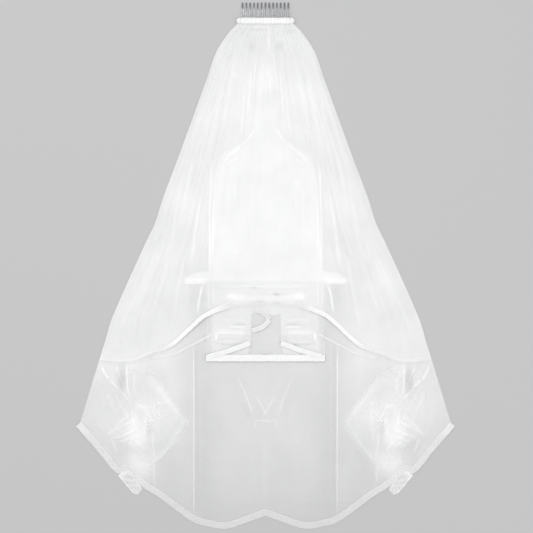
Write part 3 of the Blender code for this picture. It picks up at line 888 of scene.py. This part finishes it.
def satin_material(name, sheer):
    """Satin with its woven rib and a row of stitches; a sheer one lets some light through."""
    material, tree, shader = new_material(name)
    cloth = cloth_place(tree)
    parts = separate(tree, cloth)
    inset = math_node(tree, "SUBTRACT", parts["Y"], STITCH_INSET)
    row = math_node(tree, "ABSOLUTE", inset)
    row = ranged(tree, row, 0.00018, 0.00045, 1.0, 0.0, smooth=True)
    beat = math_node(tree, "PINGPONG", parts["X"], STITCH_LENGTH)
    dash = ranged(tree, beat, 0.00018, 0.00040, 0.0, 1.0, smooth=True)
    stitch = math_node(tree, "MULTIPLY", row, dash)
    threads = noise(tree, cloth, 1, 2, stretch=(9000, 900, 1))
    pucker = noise(tree, cloth, 1, 3, stretch=(260, 90, 1))
    # Painted light and shade: the satin's colour is whiter on the crests of its puckers and darker
    # in their hollows, following their bump, and further set by the whiteness share.
    painted_pucker_light = ranged(tree, pucker, 0.25, 0.7, 0.30, 0.58)
    white = math_node(tree, "MULTIPLY_ADD", attribute(tree, "whiteness_and_painted_light"), 2.0, painted_pucker_light)
    tint = blended(tree, white, (0.68, 0.682, 0.688, 1.0), (0.95, 0.95, 0.948, 1.0))
    if sheer:
        share = attribute(tree, "thread_share")
        feed_all(tree, shader, Alpha=math_node(tree, "MULTIPLY_ADD", stitch, 0.06, share))
    shine = ranged(tree, threads, 0.2, 0.8, 0.34, 0.50)
    feed_all(
        tree,
        shader,
        Base_Color=blended(tree, stitch, tint, (0.84, 0.84, 0.84, 1.0)),
        Roughness=math_node(tree, "MULTIPLY_ADD", stitch, 0.3, shine),
        Sheen_Weight=0.2,
        Sheen_Roughness=0.35,
        Specular_IOR_Level=0.45,
    )
    relief = math_node(tree, "MULTIPLY_ADD", stitch, 0.8, pucker)
    relief = math_node(tree, "MULTIPLY_ADD", threads, 0.10, relief)
    bumped(tree, shader, relief, 0.45, 0.0004)
    return material


def wire_material():
    """Silver-coloured wire, darker towards the tips of the teeth."""
    material, tree, shader = new_material("silver_wire")
    place_at = object_place(tree)
    wear = noise(tree, place_at, 600, 3)
    worn = ranged(tree, wear, 0.3, 0.7, 0.85, 1.0)
    root = ranged(tree, separate(tree, place_at)["Y"], 0.4040, 0.4125, 1.0, 0.0, smooth=True)
    factor = math_node(tree, "MULTIPLY", root, worn)
    tint = blended(tree, factor, (0.22, 0.23, 0.25, 1.0), (0.64, 0.65, 0.67, 1.0))
    roughness = ranged(tree, wear, 0.3, 0.7, 0.18, 0.34)
    feed_all(tree, shader, Base_Color=tint, Roughness=roughness, Metallic=1.0)
    return material


def floor_material():
    material, tree, shader = new_material("plain_floor")
    grey = (0.477, 0.477, 0.480, 1.0)
    feed_all(tree, shader, Base_Color=grey, Roughness=0.9, Specular_IOR_Level=0.1)
    return material


tulle = tulle_material()
satin = satin_material("white_satin_ribbon", True)
binding_satin = satin_material("white_satin_binding", False)
wire = wire_material()


# Tiers


def even_columns(count):
    return np.linspace(-1.0, 1.0, count)


def crease_columns():
    """Columns of the long tier, close together beside the long crease."""
    beside = CREASE_COLUMN + 0.0020 * np.arange(-5, 6)
    inner = np.linspace(0.0, beside[0], 56)[:-1]
    outer = np.linspace(beside[-1], 1.0, 84)[1:]
    half = np.concatenate([inner, beside, outer])
    return np.concatenate([-half[:0:-1], half])


def make_tier(name, columns, rows, where, hem, surface, floor_level, shift):
    """A tier from the comb to its hem, its side edges rolled down to the floor level."""
    hems = hem_on_column(columns, where, hem)
    share = np.linspace(0.0, 1.0, rows)[:, None]
    drop = share * (hems[None, :] + TUCKED_IN) - TUCKED_IN
    x = where(columns[None, :], drop)
    u = x / half_width(drop)
    level, density, whiteness_and_light = surface(x, drop)
    level = edge_roll(level, u, floor_level)
    cloth = (u * OUTLINE[-1].half_width + shift, drop)
    body = grid_object("veil_" + name, x, drop, level, density, cloth, whiteness_and_light)
    return place(body, tulle, name)


def make_long_tier():
    columns = crease_columns()
    return make_tier(
        "long_tier", columns, LONG_ROWS, beside_crease, LONG_HEM, long_surface, HALF_WALL, 0.0
    )


def make_short_tier():
    columns = even_columns(SHORT_COLUMNS)
    floor_level = HALF_WALL + 0.0008
    return make_tier(
        "short_tier", columns, SHORT_ROWS, on_ray, SHORT_HEM, short_surface, floor_level, NET_SHIFT
    )


def hem_path(hem):
    columns = even_columns(HEM_POINTS)
    hems = hem_on_column(columns, on_ray, hem)
    return on_ray(columns, hems), hems


def make_long_ribbon():
    x, drop = hem_path(LONG_HEM)
    away = np.abs(x)
    tip = smooth_step(0.276, 0.290, away)
    share = 0.50 + 0.08 * smooth_step(0.14, 0.20, away) + 0.12 * tip
    body = ribbon(
        "veil_long_ribbon",
        x,
        drop - 0.5 * RIBBON_WIDTH,
        RIBBON_WIDTH,
        lambda at_x, at_drop: 0.6 * long_surface(at_x, at_drop)[0] + 0.0008,
        share,
        crown=0.0007,
        seed=1.0,
        white=0.10 + 0.03 * tip,
        ruche=0.012 + 0.038 * smooth_step(0.12, 0.24, away),
    )
    return place(body, satin, "long_tier_ribbon")


def make_short_ribbon():
    x, drop = (values[4:-4] for values in hem_path(SHORT_HEM))
    away = np.abs(x)
    narrow = smooth_step(0.03, 0.12, away) * (1 - smooth_step(0.19, 0.24, away))
    width = 0.0095 - 0.0030 * narrow
    flank = smooth_step(0.042, 0.080, away) * (1 - smooth_step(0.14, 0.19, away))
    body = ribbon(
        "veil_short_ribbon",
        x,
        drop - 0.5 * width,
        width,
        lambda at_x, at_drop: short_surface(at_x, at_drop)[0] + 0.0005,
        0.03 + 0.85 * flank,
        crown=0.0006,
        seed=2.0,
        white=0.20 - 0.08 * flank,
    )
    return place(body, satin, "short_tier_ribbon")


def stack_sheet(which, outline, rows, lift, creases, tone, window=None):
    """One sheet of the folded middle, its edges pressed down."""
    drop = np.array(rows)[:, None]
    half = straight_value(outline, drop)
    across = even_columns(STACK_COLUMNS)[None, :]
    x = half * across
    drop = drop + 0 * x
    crease, thick = crease_relief(creases, x, drop)
    level = long_base(x, drop) + lift + crease
    level = level + 0.0002 * (1 + ripples(x + lift * 300, drop))
    from_side = (1 - np.abs(across)) * half
    level = level - 0.0007 * smooth_step(0.0035, 0.0012, from_side)
    faded = smooth_step(0.410, 0.450, drop) * (1 - smooth_step(0.0, 0.014, from_side))
    density = (tone + thick) * (1 - 0.55 * faded)
    keep = window(x, drop) if window else None
    cloth = (x + lift, drop)
    body = grid_object("veil_middle_" + which, x, drop, level, density, cloth, thick, keep)
    return place(body, tulle, "middle_fold_" + which)


def middle_window(x, drop):
    """True where the folded middle is left, beside the gap between its two halves."""
    top = WINDOW_TOP + 0.0016 * np.sin(130 * x)
    bottom = WINDOW_BOTTOM + 0.0015 * np.cos(60 * x)
    widen = WINDOW_HALF + 0.004 * smooth_step(0.500, WINDOW_BOTTOM, drop)
    return ~((np.abs(x) < widen) & (drop > top) & (drop < bottom))


def make_middle():
    rows = np.linspace(0.060, 0.535, 236)
    lower = stack_sheet(
        "lower", LOWER_STACK, rows, ON_CLOTH, LOWER_CREASES, 0.58, middle_window
    )
    rows = np.concatenate([np.linspace(0.066, 0.392, 160), np.linspace(0.3935, 0.412, 12)])
    upper = stack_sheet("upper", UPPER_STACK, rows, 2 * ON_CLOTH, UPPER_CREASES, 0.68)
    return lower, upper


def mirrored(path):
    return [(-x, drop) for x, drop in path]


TAB = [(0.0245, 0.4975), (0.05, 0.4960), (0.0770, 0.4965)]
TURN = [(0.0245, 0.5060), (0.0600, 0.5190), (0.0900, 0.5275)]
HEM = [(-0.0945, 0.5300), (0.0, 0.5300), (0.0945, 0.5300)]
UPPER = [(-0.1280, 0.4055), (0.0, 0.4030), (0.1280, 0.4055)]
INNER = [(-0.066, 0.4325), (0.0, 0.4345), (0.066, 0.4325)]
ZIGZAG_TIP = (0.0062, 0.4690)
MiddleRibbon = namedtuple("MiddleRibbon", "name path width lift share")
MIDDLE_RIBBONS = table(
    MiddleRibbon,
    ("hem", HEM, 0.0105, 0.0027, 0.95),
    ("upper", UPPER, 0.0085, 0.0046, 0.86),
    ("inner", INNER, 0.0090, 0.0034, 0.90),
    ("tab_left", mirrored(TAB), 0.0100, 0.0027, 0.52),
    ("tab_right", TAB, 0.0100, 0.0027, 0.52),
    ("turn_left", mirrored(TURN), 0.0080, 0.0038, 0.90),
    ("turn_right", TURN, 0.0080, 0.0038, 0.90),
    ("zigzag_upper", [(-0.0175, 0.4525), (-0.0020, 0.4585), ZIGZAG_TIP], 0.0072, 0.0027, 0.62),
    ("zigzag_lower", [(-0.0215, 0.4865), (-0.0040, 0.4800), ZIGZAG_TIP], 0.0070, 0.0037, 0.72),
)


def make_middle_ribbons():
    made = []
    for seed, item in enumerate(MIDDLE_RIBBONS, 3):
        x, drop = smooth_path(item.path)

        def level(at_x, at_drop, lift=item.lift):
            return long_base(at_x, at_drop) + lift

        name = "middle_ribbon_" + item.name
        body = ribbon(
            "veil_" + name, x, drop, item.width, level, item.share, seed=seed, white=0.02
        )
        made.append(place(body, satin, name))
    return made


def corner_density(x, fold, edge, fade, ends, base, band, thick):
    """Density of a layer of the turned corner, dying away at its fold, edge and ends."""
    loose = smooth_step(0.0, 1.0, np.abs(edge - x) / fade)
    near = bell(x - fold - FOLD_BAND, FOLD_BAND_WIDTH)
    density = (base * loose + band * near + thick) * ends
    return density * (1 - 0.95 * bell(x - fold, FOLD_GONE))


def make_turned_corner(side, hand):
    """The long tier's corner, folded back over itself along one soft ridge."""
    drop = np.linspace(*CORNER_DROPS, CORNER_ROWS)[:, None]
    fold, under, over, loft = (
        straight_value(rows, drop)
        for rows in (TURNED_FOLD, TURNED_UNDER, TURNED_OVER, TURNED_LOFT)
    )
    share = np.linspace(1.0, 0.0, CORNER_COLUMNS)[None, :] ** 1.7
    back = share[:, ::-1]
    low_x = fold + share * (under - fold)
    high_x = fold + back * (over - fold)
    both = drop + 0 * low_x
    ends = smooth_step(0.536, 0.566, drop) * (1 - smooth_step(0.690, 0.725, drop))
    crease, low_thick = crease_relief(TURNED_CREASES, -low_x, both)
    low_thick = low_thick * (0.5 + 0.5 * smooth_step(0.212, 0.232, low_x))
    low_thick = low_thick + patch_density(TURNED_PATCHES, -low_x, both)
    low_z = long_surface(-low_x, both)[0] + ON_LONG_TIER + 0.4 * crease
    fade = 0.030 - 0.022 * smooth_step(0.640, 0.652, drop)
    low_density = corner_density(low_x, fold, under, fade, ends, 0.30, 0.06, low_thick)
    crease, high_thick = crease_relief(TURNED_CREASES, -high_x, both)
    high_thick = high_thick + patch_density(TURNED_PATCHES, -high_x, both)
    # Painted light and shade of fine crushed creases, in the upper layer's density and whiteness,
    # without relief.
    crushed = patch_density(CRUSHED, -high_x, both)
    high_thick = high_thick + crumple(-high_x, both) * crushed
    close = bell(high_x - fold, 0.005)
    swell = np.sin(math.pi * back) + 0.25 * np.sin(3 * math.pi * back) ** 2
    high_z = long_surface(-high_x, both)[0] + 2 * ON_LONG_TIER + loft * swell + crease
    high_z = high_z + 0.0006 * (1 + ripples(-2 * high_x, 2 * both)) * (1 - close)
    high_z = high_z - (0.0003 + 0.6 * crease) * close
    high_density = corner_density(high_x, fold, over, 0.030, ends, 0.36, 0.08, high_thick)
    turn = np.radians([[-60, -30, 0, 30, 60]])
    reach = (high_z[:, :1] - low_z[:, -1:]) / 2
    turn_x = fold - reach * np.cos(turn)
    turn_z = low_z[:, -1:] + reach * (1 + np.sin(turn))
    flat = 0 * turn_x
    x = side * np.concatenate([low_x, turn_x, high_x], axis=1)
    level = np.concatenate([low_z, turn_z, high_z], axis=1)
    density = np.concatenate([low_density, low_density[:, -1:] + flat, high_density], axis=1)
    whiteness_and_light = np.concatenate([low_thick, low_thick[:, -1:] + flat, high_thick], axis=1)
    both = drop + 0 * x
    name = "veil_turned_corner_" + hand
    body = grid_object(name, x, both, level, density, (x, both), whiteness_and_light)
    return place(body, tulle, "long_tier_side_fold_" + hand)


HEM_TURN = [(0.2275, 0.7110), (0.2170, 0.7240), (0.2065, 0.7370), (0.2000, 0.7435)]
UNDER_RIBBON = [
    (0.1980, 0.5345),
    (0.1800, 0.5300),
    (0.1600, 0.5268),
    (0.1439, 0.5235),
    (0.1270, 0.5145),
    (0.0850, 0.4925),
]


def make_hem_turn(side, hand):
    """The end of the long tier's ribbon, turned under beyond the side hem."""
    x, drop = smooth_path(HEM_TURN, 0.001)
    along = np.linspace(0.0, 1.0, len(x))
    width = 0.0180 - 0.0025 * along**2 - 0.0050 * smooth_step(0.85, 1.0, along)
    share = 0.68 + 0.22 * smooth_step(0.30, 0.0, along)
    body = ribbon(
        "veil_hem_turn_" + hand,
        side * x,
        drop,
        width,
        lambda at_x, at_drop: 0.0004 + 0 * at_x,
        share,
        seed=9.0,
        white=0.05,
        ruche=0.06,
    )
    return place(body, satin, "long_tier_turn_" + hand)


def make_under_ribbon(side, hand):
    """The second layer of the short tier's ribbon, just below the arch."""
    x, drop = smooth_path(UNDER_RIBBON)
    share = 0.10 + 0.50 * smooth_step(0.195, 0.165, x)
    body = ribbon(
        "veil_under_ribbon_" + hand,
        side * x,
        drop,
        0.0040,
        lambda at_x, at_drop: long_surface(at_x, at_drop)[0] + 0.0016,
        share,
        seed=11.0,
        white=0.16,
    )
    return place(body, satin, "short_tier_under_ribbon_" + hand)


# Comb and its binding


def make_binding():
    """A ruched strip of satin wrapped round the comb's spine."""
    along = np.linspace(-0.5, 0.5, 241)[:, None]
    turn = np.linspace(0.0, 1.0, 33)[None, :]
    mid_y = BINDING_BACK_Y + BINDING_DEPTH / 2
    angle = 2 * math.pi * turn - math.pi / 2
    tucks = np.abs(np.sin(math.pi * 19 * along + 0.9 * np.sin(23 * along)))
    fine = 0.5 + 0.5 * np.sin(math.pi * 71 * along + 3 * np.sin(angle) + 2 * np.sin(31 * along))
    plump = 0.82 + 0.12 * tucks + 0.05 * fine
    slow = 0.5 * np.sin(19 * along + 1) + 0.5 * np.sin(37 * along + 2.2)
    out_y, out_z = (
        np.sign(part) * np.abs(part) ** BINDING_SQUARE * size / 2
        for part, size in ((np.cos(angle), BINDING_DEPTH), (np.sin(angle), BINDING_HEIGHT))
    )
    end = 1 - 0.45 * smooth_step(0.455, 0.5, np.abs(along))
    y = mid_y + out_y * (0.86 + 0.07 * tucks + 0.06 * slow) * end
    z = np.maximum(BINDING_HEIGHT / 2 + out_z * plump * end, 0.0001)
    x = along * BINDING_LENGTH + 0 * y
    cloth = (x, (turn - BINDING_ROW + 0 * x) * BINDING_GIRTH)
    # Painted shade in the binding's colour: darker in the hollows between the tucks and towards
    # its ends, with a row of painted shadow dots of its gathers along the top of its left part.
    shadow_dots = (0.5 + 0.5 * np.cos(2 * math.pi * x / SHADOW_DOT_PITCH)) ** 3
    shadow_dots = shadow_dots * smooth_step(-0.01, -0.03, along) * bell(turn - BINDING_ROW, 0.035)
    shade = 0.14 * (tucks - 0.6) - 0.10 * smooth_step(0.30, 0.48, np.abs(along))
    shade = shade - 0.05 - 0.30 * shadow_dots
    body = grid_object("comb_binding_satin", x, GATHER_Y - y, z, 0.97 + 0 * x, cloth, shade)
    return place(body, binding_satin, "comb_binding")


def make_stitches():
    """Thread whipped round the binding, one slanted stitch between every two teeth."""
    curve = bpy.data.curves.new("comb_binding_stitches", "CURVE")
    curve.dimensions = "3D"
    curve.bevel_depth = THREAD_RADIUS
    curve.bevel_resolution = 2
    curve.use_fill_caps = True
    front_y = BINDING_BACK_Y + BINDING_DEPTH
    top = BINDING_HEIGHT + 0.00012
    for k in range(STITCHES):
        x = (k - (STITCHES - 1) / 2) * STITCH_STEP
        spline = curve.splines.new("POLY")
        points = [
            (x - 0.0006, front_y - 0.0058, top - 0.0002),
            (x - 0.0003, front_y - 0.0045, top + 0.0001),
            (x, front_y - 0.0028, top),
            (x + 0.0003, front_y - 0.0012, top - 0.0007),
            (x + 0.0004, front_y - 0.0004, top - 0.0018),
        ]
        spline.points.add(len(points) - 1)
        for slot, point in zip(spline.points, points):
            slot.co = (*point, 1.0)
    body = bpy.data.objects.new("comb_binding_stitches", curve)
    bpy.context.scene.collection.objects.link(body)
    body.data.materials.append(binding_satin)
    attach(body, "root")
    return body


def dress_comb():
    """Give the comb's own nodes their wire."""
    for name in ("comb_teeth", "comb_spine"):
        comb_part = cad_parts[name]
        for slot in comb_part.material_slots:
            slot.material = wire
        if not comb_part.material_slots:
            comb_part.data.materials.append(wire)


long_tier = make_long_tier()
long_ribbon = make_long_ribbon()
middle_lower, middle_upper = make_middle()
middle_ribbons = make_middle_ribbons()
corners = [make_turned_corner(side, hand) for side, hand in SIDES]
turns = [make_hem_turn(side, hand) for side, hand in SIDES]
under_ribbons = [make_under_ribbon(side, hand) for side, hand in SIDES]
short_tier = make_short_tier()
short_ribbon = make_short_ribbon()
binding = make_binding()
stitches = make_stitches()
dress_comb()


bpy.ops.mesh.primitive_plane_add(size=FLOOR_SIZE, location=(0, 0, 0))
floor = bpy.context.object
floor.name = "floor"
floor.data.materials.append(floor_material())


# Light and camera


def area_light(name, place_at, aim, size, power):
    lamp = bpy.data.lights.new(name, "AREA")
    lamp.shape = "DISK"
    lamp.size = size
    lamp.energy = power
    body = bpy.data.objects.new(name, lamp)
    bpy.context.scene.collection.objects.link(body)
    body.location = place_at
    toward = np.array(aim, float) - np.array(place_at, float)
    level = math.hypot(toward[0], toward[1])
    heading = math.atan2(toward[1], toward[0]) - math.pi / 2
    body.rotation_euler = (math.atan2(level, -toward[2]), 0, heading)


area_light("key", (-0.9, 1.2, 2.6), (0, 0, 0), 1.4, 24)
area_light("fill", (1.2, -0.6, 2.4), (0, 0, 0), 1.8, 12)

world = bpy.data.worlds.new("studio")
world.use_nodes = True
sky = world.node_tree
height = separate(sky, node(sky, "ShaderNodeTexCoord").outputs["Generated"])["Z"]
strength = ranged(sky, height, 0.0, 0.9, 0.45, 1.02)
feed_all(sky, sky.nodes["Background"], Strength=strength, Color=(1, 1, 1, 1))
bpy.context.scene.world = world
bpy.context.scene.view_settings.view_transform = "Standard"

camera_data = bpy.data.cameras.new("photo_camera")
camera_data.sensor_width = SENSOR_WIDTH
camera_data.lens = SENSOR_WIDTH * CAMERA_HEIGHT / (PHOTO_PIXELS * PHOTO_PIXEL)
camera = bpy.data.objects.new("photo_camera", camera_data)
bpy.context.scene.collection.objects.link(camera)
camera.location = (PHOTO_PIXEL, -PHOTO_PIXEL, CAMERA_HEIGHT)
bpy.context.scene.camera = camera
